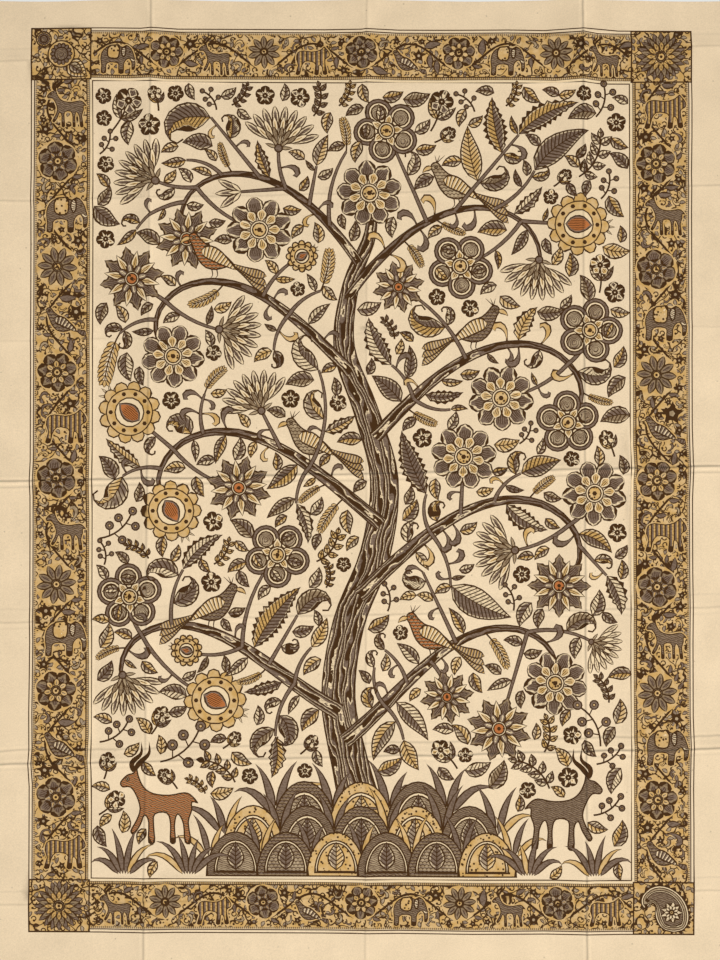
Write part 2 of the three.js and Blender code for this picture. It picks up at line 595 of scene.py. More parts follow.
def antelope(foot, size, facing, dye, halo=0.0):
    stance = Stance(foot, size, facing)
    lined_patch(stance.outline(ANTELOPE), dye, LIGHT_GREY, FUR, halo=halo)
    for reach in (0, 9):
        horn = smooth(stance.put((20, 82), (20 + reach, 94), (30 + reach, 104), (30 + reach, 118)), 4)
        stroke(horn, blade_half(size * 0.06, len(horn), 0.3), BLACK)
    eye(stance.put((14, 74))[0], max(LEAST_EYE, size * 0.028))


def elephant(foot, size, facing, dye, halo=0.0):
    stance = Stance(foot, size, facing)
    line_through(stance.put((94, 55), (102, 44), (100, 26)), 2.4)
    lined_patch(stance.outline(ELEPHANT), dye, LIGHT_GREY, FUR, halo=halo)
    saddle = smooth(stance.put((44, 77), (58, 79), (76, 74), (78, 46), (62, 38), (46, 44)), 3, closed=True)
    lined_patch(saddle, OCHRE, PALE, SPOTS)
    ear = smooth(stance.put((27, 74), (38, 72), (42, 58), (36, 44), (28, 50)), 3, closed=True)
    lined_patch(ear, PALE, GREY, FUR)
    tusk = smooth(stance.put((16, 42), (8, 36), (0, 40)), 4)
    stroke(tusk, blade_half(size * 0.07, len(tusk), 0.3), PALE)
    eye(stance.put((17, 60))[0], max(LEAST_EYE, size * 0.028))


def big_cat(foot, size, facing, dye, halo=0.0):
    stance = Stance(foot, size, facing)
    tail = smooth(stance.put((92, 58), (104, 66), (100, 84), (86, 88), (82, 80)), 4)
    stroke(tail, size * 0.028, dye, cut_ends=True)
    lined_patch(stance.outline(BIG_CAT), dye, OCHRE, BANDS, 8 + 0j, halo=halo)
    eye(stance.put((12, 62))[0], max(LEAST_EYE, size * 0.03))


# The border

# Lines of the border, counted in from the edge of the print and out from the field
OUTER_LINES = (0.8, 6.2)
OUTER_COMB = 3.2
BAND_FROM = 11
INNER_LINES = (1.0, 7.0)
INNER_COMB = 4
COMB_PITCH = 3.4
FINE_LINE = 0.95
FRAME_STEP = 60

# The vine in the band, and what fills the room that is left
VINE_HALF = 1.9
END_BENDS = 11
SIDE_BENDS = 15
VINE_LEAF_SPACING = 17
VINE_LEAVES = (32, 26, 21, 17)
BAND_CLEAR = 5
CORNER_CLEAR = 22
LEAST_FILLING = 7.0
MOST_FILLINGS = 300


def frame_line(inset_x, inset_y, half, dye, second=None, figure=PLAIN, pitch=1.0):
    """Four straight strokes round the print, this far in from its edge."""
    right = PRINT_WIDTH / 2 - inset_x
    top = PRINT_HEIGHT / 2 - inset_y
    corners = [complex(-right, -top), complex(right, -top), complex(right, top), complex(-right, top)]
    for start, end in zip(corners, corners[1:] + corners[:1]):
        way = (end - start) / abs(end - start)
        count = max(2, int(abs(end - start) / FRAME_STEP))
        spine = np.linspace(start - way * half, end + way * half, count)
        stroke(spine, half, dye, second, figure, pitch, cut_ends=True, lined=False)


def box_outline(low, high):
    return np.array([low, complex(high.real, low.imag), high, complex(low.real, high.imag)])


def draw_border_ground():
    outer = complex(PRINT_WIDTH, PRINT_HEIGHT) / 2
    band = outer - complex(BAND_FROM, BAND_FROM)
    inner = complex(FIELD_WIDTH, FIELD_HEIGHT) / 2
    lining = complex(INNER_LINES[1], INNER_LINES[1])
    patch(box_outline(-band, band), OCHRE, GREY, FOLIAGE)
    patch(box_outline(-inner - lining, inner + lining), PALE)
    patch(box_outline(-inner, inner), GROUND)
    room.free[:] = room.REACH
    for inset in OUTER_LINES:
        frame_line(inset, inset, FINE_LINE, BLACK)
    outer_comb = BAND_FROM - OUTER_COMB / 2
    frame_line(outer_comb, outer_comb, OUTER_COMB / 2, OCHRE, LIGHT_GREY, BANDS, COMB_PITCH)
    for inset in INNER_LINES:
        frame_line(SIDE_BORDER - inset, END_BORDER - inset, FINE_LINE, BLACK)
    comb = INNER_LINES[1] + INNER_COMB / 2
    frame_line(SIDE_BORDER - comb, END_BORDER - comb, INNER_COMB / 2, OCHRE, LIGHT_GREY, BANDS, COMB_PITCH)
    inside = comb + INNER_COMB / 2
    frame_line(SIDE_BORDER - inside, END_BORDER - inside, FINE_LINE, BLACK)


def band_width(border):
    return border - BAND_FROM - INNER_LINES[1] - INNER_COMB


BEASTS = [elephant, antelope, big_cat]


def border_creature(place, size, number):
    facing = 1 if number % 2 else -1
    kind = number % 4
    if kind == 3:
        bird(place - (0.1 * facing + 0.4j) * size, size * 0.7, facing, GREY, GREY, 2.0, 26, 0.5)
    else:
        BEASTS[kind](place - 0.4j * size, size * 0.96, facing, GREY, halo=1.8)


def border_leaves(vine):
    """Small leaves on both sides of a vine, wherever they find room."""
    ways = headings_along(vine)
    run = run_along(vine)
    for at in np.arange(VINE_LEAF_SPACING / 2, run[-1], VINE_LEAF_SPACING):
        index = int(np.searchsorted(run, at))
        for side in (1, -1):
            base = vine[index] + side * 1j * ways[index] * STEM_HALF
            for length in VINE_LEAVES:
                toward = heading_of(ways[index]) + side * rng.choice((40, 62))
                if leaf_fits(base, toward, length, length * 0.5, -side * 30, 1.0):
                    spine = grow(base, toward, length, -side * 30, steps=6)
                    stroke(spine, blade_half(length * 0.5, 6), GREY)
                    break


def flower_head(centre, radius, turn):
    """A small dark flower head with a grey middle."""
    around = 2 * np.pi * np.arange(15) / 15
    reach = radius * (0.7 + 0.3 * np.cos(5 * around))
    patch(centre + reach * np.exp(1j * (around + math.radians(turn))), BLACK)
    disc(centre, radius * 0.36, LIGHT_GREY, corners=5)


def fill_band(allowed):
    """Curls and flower heads in what room is left in the border."""
    for number in range(MOST_FILLINGS):
        place, free = room.widest(allowed)
        if free < LEAST_FILLING:
            return
        turn = rng.uniform(0, 360)
        if number % 3:
            side = rng.choice((1, -1))
            foot = place - free * 0.85 * from_angle(turn)
            comma_leaf(foot, turn - side * 40, free * 1.5, side, rng.choice((GREY, OCHRE, LIGHT_GREY)))
        else:
            flower_head(place, free * 0.9, turn)
        room.take(place)


def border_flower(place, radius, number):
    """One of three kinds of flower, on a clear patch."""
    turn = 20 * number
    patch(place + radius * 1.06 * np.exp(2j * np.pi * np.arange(16) / 16), OCHRE)
    if number % 3 == 0:
        petal_ring(place, radius * 0.3, radius, 7, turn, GREY, LIGHT_GREY)
        petal_ring(place, radius * 0.2, radius * 0.58, 7, turn + 26, LIGHT_GREY, OCHRE)
    elif number % 3 == 1:
        petal_ring(place, radius * 0.2, radius, 10, turn, GREY, LIGHT_GREY, 1.15, 0.5, 0.7)
    else:
        petal_ring(place, radius * 0.26, radius, 6, turn, GREY, LIGHT_GREY, 1.15, 0.6, 0.55)
        petal_ring(place, radius * 0.2, radius * 0.55, 6, turn + 30, OCHRE, GREY)
    flower_heart(place, radius * 0.28, OCHRE)


def draw_border_run(start, way, length, width, count, first):
    """A wavy vine along one side, with a creature or a flower in each of its bends."""
    pitch = length / count
    along = np.linspace(0, length, 14 * count + 1)
    swing = width * 0.3
    vine = start + way * along + 1j * way * swing * np.sin(np.pi * along / pitch)
    stroke(vine, VINE_HALF, BLACK, cut_ends=True)
    for number in range(count):
        bend = 1 if number % 2 == 0 else -1
        place = start + way * pitch * (number + 0.5) - 1j * way * bend * swing * 0.3
        if number % 2 == 0:
            border_creature(place, min(pitch, width) * 0.92, number // 2 + first)
        else:
            border_flower(place, min(pitch, width) * 0.4, number // 2 + first)
    border_leaves(vine)


def draw_border():
    side = band_width(SIDE_BORDER)
    end = band_width(END_BORDER)
    x = PRINT_WIDTH / 2 - BAND_FROM - side / 2
    y = PRINT_HEIGHT / 2 - BAND_FROM - end / 2
    left = -FIELD_WIDTH / 2
    foot = -FIELD_HEIGHT / 2
    draw_border_run(complex(left, y), 1, FIELD_WIDTH, end, END_BENDS, 0)
    draw_border_run(complex(left, -y), 1, FIELD_WIDTH, end, END_BENDS, 1)
    draw_border_run(complex(-x, foot), 1j, FIELD_HEIGHT, side, SIDE_BENDS, 2)
    draw_border_run(complex(x, foot), 1j, FIELD_HEIGHT, side, SIDE_BENDS, 3)
    from_side = PRINT_WIDTH / 2 - BAND_FROM - np.abs(room.places.real)
    from_end = PRINT_HEIGHT / 2 - BAND_FROM - np.abs(room.places.imag)
    in_side = (from_side > BAND_CLEAR) & (from_side < side - BAND_CLEAR) & (from_end > end + CORNER_CLEAR)
    in_end = (from_end > BAND_CLEAR) & (from_end < end - BAND_CLEAR) & (from_side > side + CORNER_CLEAR)
    fill_band(in_side | in_end)


# The corner squares

CORNER_GAP = 3


def shaggy_flower(centre, radius):
    """A many-petalled flower that fills a corner square."""
    petal_ring(centre, radius * 0.35, radius, 20, 0, GREY, GREY, 1.3, 0.5, 1.0)
    petal_ring(centre, radius * 0.3, radius * 0.82, 16, 11, GREY, LIGHT_GREY, 1.2, 0.5, 0.9)
    petal_ring(centre, radius * 0.2, radius * 0.58, 12, 0, GREY, OCHRE, 1.1, 0.6, 0.8)
    flower_heart(centre, radius * 0.24, OCHRE)


# Bands of the paisley: distance in from its edge, two dyes, figure
PAISLEY_BANDS = [
    (0.0, PALE, PALE, PLAIN),
    (3.4, LIGHT_GREY, LIGHT_GREY, PLAIN),
    (7.6, PALE, PALE, PLAIN),
    (10.2, GREY, LIGHT_GREY, FUR),
]
PAISLEY_STEPS = 36
PAISLEY_FRINGE = 5.5


def paisley(centre, size):
    """A drop with a curling tip, in bands, with a fringe round it and a flower in its body."""
    length = size * 1.6
    even = np.linspace(0, 1, PAISLEY_STEPS)
    spine = grow(centre + complex(0.25, -0.6) * size, 88, length, 40, 190, PAISLEY_STEPS)
    half = blade_half(size * 0.84, PAISLEY_STEPS, 0.3, 0.75)
    teeth = PAISLEY_FRINGE * (np.arange(PAISLEY_STEPS) % 2)
    patch(sides_of(spine, half + teeth * (even < 0.4), half + teeth), BLACK)
    share = even**1.6
    for inset, dye, second, figure in PAISLEY_BANDS:
        past_end = share * length - inset
        reach = np.minimum(np.interp(share, even, half) - inset, np.sqrt(size * np.maximum(past_end, 0)))
        inside = reach > 0
        drop = sides_of(np.interp(share, even, spine)[inside], reach[inside], reach[inside])
        lined_patch(drop, dye, second, figure, line=SMALL_LINE)
    rosette(spine[11], size * 0.26, 0)


def ringed_flower(centre, radius):
    """A round dark flower in a clear ring."""
    disc(centre, radius * 1.25, OCHRE, corners=20)
    petal_ring(centre, radius * 0.4, radius * 1.02, 14, 0, GREY, GREY, 1.3, 0.6, 0.5)
    disc(centre, radius * 0.66, GREY, LIGHT_GREY, FUR, corners=16)


def corner_sprig(centre, size):
    """A large and a small round flower and a broad leaf, on one stem."""
    small = centre + complex(-0.68, 0.58) * size
    stroke(smooth([small, centre, centre + complex(1.0, -0.88) * size], 6), 1.7, BLACK, cut_ends=True)
    leaf(centre + complex(0.2, -0.3) * size, -36, size * 1.0, size * 0.74, 0, OCHRE, OCHRE)
    leaf(centre + complex(0.3, -0.37) * size, -36, size * 0.68, size * 0.46, 0, GREY, LIGHT_GREY)
    ringed_flower(small, size * 0.25)
    ringed_flower(centre, size * 0.43)


def draw_corners():
    half = complex(SIDE_BORDER - CORNER_GAP, END_BORDER - CORNER_GAP) / 2
    middle = complex(PRINT_WIDTH, PRINT_HEIGHT) / 2 - half
    edge = complex(LINE, LINE)
    for right, up in ((-1, 1), (1, 1), (1, -1), (-1, -1)):
        centre = complex(right * middle.real, up * middle.imag)
        patch(box_outline(centre - half, centre + half), BLACK)
        patch(box_outline(centre - half + edge, centre + half - edge), OCHRE, GREY, FOLIAGE)
        if right * up > 0:
            shaggy_flower(centre, half.imag * 0.96)
        elif up > 0:
            corner_sprig(centre, half.imag)
        else:
            paisley(centre, half.imag * 1.52)


# The tree in the field

TRUNK = [
    (-6, -640, 52), (2, -590, 40), (-18, -500, 33), (-40, -380, 30), (-22, -250, 28), (24, -130, 27),
    (40, 0, 25), (8, 120, 22), (-30, 230, 19), (-18, 340, 15), (16, 430, 11), (14, 500, 7),
]
# Boughs: share of the trunk's height, side, heading above the level, length, bend, curl, half width
BOUGHS = [
    (0.22, 1, 40, 500, 30, -180, 14),
    (0.27, -1, 30, 500, 34, -190, 15),
    (0.40, 1, 44, 560, -10, -190, 14),
    (0.50, -1, 40, 540, 0, -180, 13),
    (0.60, 1, 48, 520, -20, -170, 12),
    (0.70, -1, 46, 500, -10, -190, 11),
    (0.80, 1, 54, 470, -40, -130, 9),
    (0.87, -1, 56, 450, -40, -140, 9),
]

# Birds: number of the bough, share of its length, facing, dye
BIRDS = [
    (0, 0.42, 1, RUST),
    (1, 0.5, -1, GREY),
    (3, 0.3, 1, LIGHT_GREY),
    (4, 0.45, -1, GREY),
    (6, 0.5, 1, LIGHT_GREY),
    (5, 0.6, 1, RUST),
]

# Antelopes: place from the middle, height of the feet above the field's foot, facing, dye
ANTELOPES = [(-352, 60, 1, RUST), (352, 52, -1, GREY)]
ANTELOPE_SIZE = 150
BIRD_SIZE = 86
GRASS_PLACES = (-412, -300, 290, 405)
GRASS_HEIGHT = 84

# The mound: hills in a row, their width, height and rise, from the back to the front
MOUND_ROWS = [(3, 118, 100, 66), (5, 112, 92, 32), (6, 104, 78, 0)]
HILL_DYES = [(GREY, LIGHT_GREY, SCALES), (OCHRE, OCHRE, SPOTS), (GREY, LIGHT_GREY, FUR)]
HILL_PITCH = 0.84

# Twigs and leaves: shares of a bough where twigs stand, and lengths that are tried, longest first
FLOWERING_SHARES = (0.78, 0.42)
LEAFY_SHARES = (0.3, 0.55, 0.68, 0.88, 0.2)
BOUGH_LEAVES = (135, 110, 88, 70, 54, 40, 28)
TWIG_LEAVES = (100, 80, 62, 48, 36, 26)
TIP_LEAVES = (120, 95, 75, 60, 45, 32)
BOUGH_TIP_HALF = 3.2
TWIG_TURNS = (35, 60, 85)
TWIG_LENGTHS = (70, 100, 135, 175)
TWIG_BENDS = (-50, 0, 40)
TWIG_HALVES = (4.2, 2.4)
TWIG_CLEAR = 9
LEAST_TIP_ROOM = 26
BOUGH_FLOWER = 56
MOST_FLOWER = 58
LEAST_FLOWER = 27
FIELD_CLEAR = 12
LEAST_GAP = 8
MOST_LOOSE_MOTIFS = 300


def field_mask(margin):
    across = np.abs(room.places.real) < FIELD_WIDTH / 2 - margin
    return across & (np.abs(room.places.imag) < FIELD_HEIGHT / 2 - margin)


def draw_trunk():
    marks = smooth([complex(x, y) for x, y, half in TRUNK], 5)
    half = smooth([half for x, y, half in TRUNK], 5).real
    stroke(marks, half, GREY, PALE, BARK, cut_ends=True)
    return marks


def draw_boughs(trunk):
    boughs = []
    for share, side, heading, length, bend, curl, half in BOUGHS:
        start = trunk[int(share * (len(trunk) - 1))]
        toward = heading if side > 0 else 180 - heading
        spine = grow(start, toward, length, side * bend, side * curl, steps=28)
        widths = np.linspace(half, BOUGH_TIP_HALF, len(spine))
        stroke(spine, widths, GREY, PALE, BARK, cut_ends=True)
        boughs.append((spine, widths))
    return boughs


def best_twig(base, heading, side):
    """Of several twigs tried at a place on a bough, the one whose tip has the most room."""
    best = None
    most = LEAST_TIP_ROOM
    for turn, length, bend in product(TWIG_TURNS, TWIG_LENGTHS, TWIG_BENDS):
        spine = grow(base, heading + side * turn, length, side * bend, steps=9)
        free = room.at(spine[-1])[0]
        if free > most and np.min(room.at(spine[3:])) >= TWIG_CLEAR:
            best = spine
            most = free
    return best, most


def draw_twigs(boughs, shares, flowering):
    """Twigs on both sides of the boughs, each with a flower or a large leaf at its tip."""
    twigs = []
    for share in shares:
        for spine, _ in boughs:
            index = int(share * (len(spine) - 1))
            heading = heading_of(headings_along(spine)[index])
            for turn in (1, -1):
                twig, free = best_twig(spine[index], heading, turn)
                if twig is None:
                    continue
                taper = np.linspace(*TWIG_HALVES, len(twig))
                stroke(twig, taper, GREY, cut_ends=True)
                twigs.append((twig, taper))
                if flowering:
                    flower_at_tip(twig, min(free - 3, MOST_FLOWER), len(twigs))
                else:
                    fitted_leaf(twig[-1], heading_of(twig[-1] - twig[-3]) - 38, 1, TIP_LEAVES)
    return twigs


def flower_at_tip(spine, radius, number):
    kind = bud if radius < LEAST_FLOWER else BIG_FLOWERS[number % len(BIG_FLOWERS)]
    kind(spine[-1], radius, heading_of(spine[-1] - spine[-3]))


def draw_leaves(branches, first, spacing, lengths):
    """Leaves on both sides of each branch, from a distance along it, wherever they find room."""
    for spine, widths in branches:
        ways = headings_along(spine)
        run = run_along(spine)
        for at in np.arange(first, run[-1], spacing):
            index = int(np.searchsorted(run, at))
            for side in (1, -1):
                base = spine[index] + side * 1j * ways[index] * (widths[index] - 1)
                fitted_leaf(base, heading_of(ways[index]), side, lengths)


def spray_stem(centre, radius, turn):
    stem = grow(centre - radius * 0.85 * from_angle(turn - 30), turn - 30, radius * 1.75, 60, steps=9)
    stroke(stem, STEM_HALF, BLACK, cut_ends=True)
    return stem


def berry_spray(centre, radius, turn):
    stem = spray_stem(centre, radius, turn)
    size = max(5.0, radius * 0.2)
    for number, side in ((2, 1), (3, -1), (5, 1), (6, -1), (8, 0)):
        way = headings_along(stem)[number]
        place = stem[number] + way * (side * 1j * size * 2 + size * 0.8)
        stroke(np.linspace(stem[number], place, 3), 1.1, BLACK, cut_ends=True)
        disc(place, size, GREY, corners=10)
        disc(place, size * 0.4, OCHRE, corners=6)


def leaflet_spray(centre, radius, turn):
    stem = spray_stem(centre, radius, turn)
    dye, second = rng.choice(LEAF_DYES)
    for number in (1, 3, 5, 7):
        heading = heading_of(headings_along(stem)[number])
        for side in (1, -1):
            leaf(stem[number], heading + side * 58, radius * 0.55, radius * 0.34, -side * 20, dye, second)
    leaf(stem[-1], turn + 30, radius * 0.4, radius * 0.28, 0, dye, second)


def sprig(centre, radius, turn):
    """A loose stem with two leaves and a flower, to fill a gap."""
    stem = grow(centre - radius * 0.9 * from_angle(turn - 12), turn - 12, radius * 1.3, 24)
    stroke(stem, STEM_HALF, BLACK, cut_ends=True)
    for side in (1, -1):
        dye, second = rng.choice(LEAF_DYES)
        leaf(stem[3], turn + side * 55, radius * 0.95, radius * 0.36, -side * 35, dye, second)
    blossom(stem[-1], radius * 0.5, turn)


SPRAYS = [berry_spray, leaflet_spray, sprig]


def fill_gaps(allowed):
    """Puts loose motifs where the most room is left, until the gaps are small."""
    for number in range(MOST_LOOSE_MOTIFS):
        place, free = room.widest(allowed)
        if free < LEAST_GAP:
            return
        turn = rng.uniform(0, 360)
        if free > 25:
            SPRAYS[number % 3](place, free * 0.88, 90 + rng.uniform(-60, 60))
        elif free > 17 and number % 3 == 0:
            blossom(place, free * 0.8, turn)
        else:
            spine = grow(place - free * 1.15 * from_angle(turn), turn - 25, free * 2.35, 50, steps=7)
            dye, second = rng.choice(LEAF_DYES)
            stroke(spine, blade_half(free * 1.3, 7), dye, second, VEINS)
        room.take(place)


def hill(foot, width, height, dye, second, figure):
    arc = np.radians(np.linspace(0, 180, 17))
    dome = foot + width / 2 * np.cos(arc) + 1j * height * np.abs(np.sin(arc))
    base = foot + width / 2 * np.linspace(-0.9, 0.9, 10)
    outline = np.concatenate([dome, base])
    lined_patch(outline, dye, second, figure)
    core = foot + 0.3j * height
    lined_patch(core + (outline - core) * 0.74, PALE)
    lined_patch(core + (outline - core) * 0.66, second, dye, figure)
    spine = foot + 1j * height * np.linspace(0.14, 0.78, 7)
    stroke(spine, blade_half(width * 0.3, 7, 0.42), dye, GREY, VEINS)


def draw_mound():
    base = -FIELD_HEIGHT / 2 + 3
    for order, (count, width, height, rise) in enumerate(MOUND_ROWS):
        for number in range(count + 1):
            x = (number - count / 2) * width * HILL_PITCH
            tuft(complex(x, base + rise + height * 0.45), height * 1.05, 4)
        for number in range(count):
            x = (number - (count - 1) / 2) * width * HILL_PITCH
            hill(complex(x, base + rise), width, height, *HILL_DYES[(number + order) % 3])


def tuft(foot, height, count):
    """Blades of grass that bow outwards."""
    for number in range(count):
        lean = (number - (count - 1) / 2) * 80 / count
        spine = grow(foot + lean * 0.3, 90 - lean, height * rng.uniform(0.7, 1.0), -lean, -lean * 2.4)
        stroke(spine, blade_half(height * 0.15, len(spine), 0.35), rng.choice((GREY, GREY, OCHRE)))


def draw_field():
    base = -FIELD_HEIGHT / 2
    trunk = draw_trunk()
    boughs = draw_boughs(trunk)
    draw_mound()
    for x, rise, facing, dye in ANTELOPES:
        antelope(complex(x, base + rise), ANTELOPE_SIZE, facing, dye)
    for x in GRASS_PLACES:
        tuft(complex(x, base + 6), GRASS_HEIGHT, 6)
    for number, (spine, _) in enumerate(boughs):
        flower_at_tip(spine, BOUGH_FLOWER, number)
    flower_at_tip(trunk, MOST_FLOWER, 0)
    for index, share, facing, dye in BIRDS:
        spine = boughs[index][0]
        bird(spine[int(share * len(spine))] + 4j, BIRD_SIZE, facing, dye, OCHRE)
    flowering = draw_twigs(boughs, FLOWERING_SHARES, True)
    leafy = draw_twigs(boughs, LEAFY_SHARES, False)
    draw_leaves(boughs, 70, 34, BOUGH_LEAVES)
    draw_leaves(flowering + leafy, 28, 28, TWIG_LEAVES)
    fill_gaps(field_mask(FIELD_CLEAR))


# The folds of the cloth

# Spacing of the mesh's points: along the edge, along the creases and between them
EDGE_STEP = 12
FRONT_CREASE_STEP = 20
FRONT_GRID = 24
BACK_STEP = 28
EDGE_CLEAR = 6
GRID_CLEAR = 4
# How far from each crease points lie, on its two sides
BESIDE_FRONT = (-5, 5, -14, 14)
BESIDE_BACK = (-5, 5, -14, 14, -24, 24, -36, 36)
# Bands of the texture map: the front has most of it, the back a narrow band and the rim a thread
FRONT_BAND = (0.08, 0.998)
BACK_BAND = (0.012, 0.07)
RIM_BAND = (0.001, 0.006)
MAP_MARGIN = 0.002


def leaning(x, y):
    moved = 0
    for at, lean, *_ in LENGTHWISE_RIDGES:
        moved = moved + lean * np.clip(1 - np.abs(x - at) / QUARTER, 0, None)
    return moved * y / CLOTH_LENGTH


def climbing(x, y):
    return FOLD_SLOPE * x * np.minimum(1, (HEAD - np.abs(y)) / END_EASE)


def fold_place(fold):
    return HEAD - HEAD_FLAP - fold * FOLD_PITCH


def ridge_section(offset, left, right):
    share = np.abs(offset) / np.where(offset < 0, left, right)
    return np.clip(1 - share, 0, None) ** 2


def kept(along, start):
    return 1 - UNEVEN_SHARE * np.sin((along * UNEVEN_WAVES + start) * np.pi) ** 2


def lift(place):
    """How far the underside stands above the floor, in millimetres."""
    x = place.real - leaning(place.real, place.imag)
    y = place.imag - climbing(place.real, place.imag)
    up_the_length = np.clip(y / CLOTH_LENGTH + 0.5, 0, 1)
    across_the_width = np.clip(x / CLOTH_WIDTH + 0.5, 0, 1)
    total = 0
    for order, (at, lean, head, foot, left, right) in enumerate(LENGTHWISE_RIDGES):
        height = (foot + (head - foot) * up_the_length**1.5) * kept(up_the_length, order / 3)
        total = total + (height * ridge_section(x - at, left, right)) ** 2
    for fold, left, right, flank in CROSSWISE_RIDGES:
        height = (left + (right - left) * across_the_width) * kept(across_the_width, fold / 3)
        total = total + (height * ridge_section(y - fold_place(fold), flank, flank)) ** 2
    for middle_x, middle_y, across, along, height in SWELLS:
        share = np.hypot((x - middle_x) / across, (y - middle_y) / along)
        total = total + (height * np.cos(np.clip(share, 0, 1) * np.pi / 2) ** 2) ** 2
    return np.sqrt(total)


def cloth_edge(step):
    """The outline of the cloth, anticlockwise, with its slow waves."""
    across = int(CLOTH_WIDTH / step)
    along = int(CLOTH_LENGTH / step)
    x = np.linspace(-CLOTH_WIDTH / 2, CLOTH_WIDTH / 2, across + 1)
    y = np.linspace(-HEAD, HEAD, along + 1)
    flat_x = np.concatenate([x[:-1], np.full(along, x[-1]), x[:0:-1], np.full(along, x[0])])
    flat_y = np.concatenate([np.full(across, y[0]), y[:-1], np.full(across, y[-1]), y[:0:-1]])
    narrower = 2 * EDGE_WANDER * np.sin((flat_y / CLOTH_LENGTH + 0.5) * SIDE_WAVES * np.pi) ** 2 / CLOTH_WIDTH
    shorter = 2 * EDGE_WANDER * np.sin((flat_x / CLOTH_WIDTH + 0.5) * END_WAVES * np.pi) ** 2 / CLOTH_LENGTH
    return flat_x * (1 - narrower) + 1j * flat_y * (1 - shorter)


def crease_lines(offsets, step):
    """Polylines along every ridge and beside it, kept just inside the edges."""
    lines = []
    y = np.arange(-HEAD + EDGE_CLEAR, HEAD - EDGE_CLEAR + 1, step)
    x = np.arange(-CLOTH_WIDTH / 2 + EDGE_CLEAR, CLOTH_WIDTH / 2 - EDGE_CLEAR + 1, step)
    for offset in offsets:
        for at, *_ in LENGTHWISE_RIDGES:
            lines.append(at + offset + leaning(at + offset, y) + 1j * y)
        for fold, *_ in CROSSWISE_RIDGES:
            flat_y = fold_place(fold) + offset
            lines.append(x + 1j * (flat_y + climbing(x, flat_y)))
    return lines


def inner_grid(step):
    """Points between the creases, to carry the folds, with each second row shifted by half a step."""
    inset = step / 2 + GRID_CLEAR
    x = np.arange(-CLOTH_WIDTH / 2 + inset, CLOTH_WIDTH / 2 - inset, step)
    y = np.arange(-HEAD + inset, HEAD - inset, step)
    grid = x[None, :] + 1j * y[:, None]
    grid[1::2] += step / 2 - GRID_CLEAR / 2
    return grid.ravel()


class Cut:
    """Triangles of one face of the cloth, with the number of the shape that dyes each."""

    def __init__(self, edge, outlines, lines, loose):
        self.points = []
        self.edges = []
        self.faces = []
        self.add_face(edge)
        for outline in outlines:
            self.add_face(outline)
        for line in lines:
            first = len(self.points)
            self.points.extend(line)
            self.edges.extend((number, number + 1) for number in range(first, first + len(line) - 1))
        self.points.extend(loose)
        self.solve()

    def add_face(self, outline):
        first = len(self.points)
        self.points.extend(outline)
        self.faces.append(list(range(first, first + len(outline))))

    def solve(self):
        vectors = [Vector((point.real, point.imag)) for point in self.points]
        places, _, triangles, _, _, owners = delaunay_2d_cdt(vectors, self.edges, self.faces, 0, 1e-3, True)
        inside = [number for number, owner in enumerate(owners) if owner]
        self.places = np.array([complex(place[0], place[1]) for place in places])
        self.triangles = np.array([triangles[number] for number in inside])
        self.owners = np.array([max(owners[number]) for number in inside])


def on_cloth(point):
    """A place on the print, moved to where it is on the cloth."""
    return PRINT_CENTRE + point + 1j * PRINT_SKEW * np.real(point)


def on_print(place):
    offset = place - PRINT_CENTRE
    return offset - 1j * PRINT_SKEW * offset.real


def make_front(edge):
    outlines = [on_cloth(shape.outline) for shape in shapes]
    middles = [on_cloth(shape.middle) for shape in shapes if shape.middle is not None]
    beside = np.concatenate(crease_lines(BESIDE_FRONT, FRONT_CREASE_STEP))
    loose = np.concatenate([middles, beside, inner_grid(FRONT_GRID)])
    return Cut(edge, outlines, crease_lines((0,), FRONT_CREASE_STEP), loose)


def make_back(edge):
    beside = np.concatenate(crease_lines(BESIDE_BACK, BACK_STEP))
    return Cut(edge, [], crease_lines((0,), BACK_STEP), np.concatenate([beside, inner_grid(BACK_STEP)]))


def dye_front(cut):
    """For each corner of each triangle: dye, second dye and figure, and its place in its shape."""
    ink = np.zeros((len(cut.triangles), 3, 3))
    stroke_place = np.zeros((len(cut.triangles), 3, 3))
    stroke_place[:, :, 2] = NO_EDGE
    order = np.argsort(cut.owners, kind="stable")
    bounds = np.searchsorted(cut.owners[order], np.arange(len(shapes) + 2))
    for number, shape in enumerate(shapes):
        chosen = order[bounds[number + 1]:bounds[number + 2]]
        if len(chosen):
            corners = on_print(cut.places[cut.triangles[chosen]].ravel())
            ink[chosen] = (shape.dye, shape.second, shape.figure)
            stroke_place[chosen] = shape.locate(corners).reshape(-1, 3, 3)
    return ink, stroke_place


def place_object(name, data):
    made = bpy.data.objects.new(name, data)
    bpy.context.collection.objects.link(made)
    return made


def face_points(cut, rise):
    return np.column_stack([cut.places.real, cut.places.imag, lift(cut.places) + rise])


def add_ink(mesh, front, plain):
    """Gives the front its dyes, and the other triangles, which are plain, the cotton's own colour."""
    ink, stroke_place = dye_front(front)
    unprinted = np.tile([GROUND, GROUND, BACK], (plain * 3, 1))
    unlined = np.tile([0.0, 0.0, NO_EDGE], (plain * 3, 1))
    add_vectors(mesh, "ink", np.concatenate([ink.reshape(-1, 3), unprinted]))
    add_vectors(mesh, "stroke", np.concatenate([stroke_place.reshape(-1, 3), unlined]))


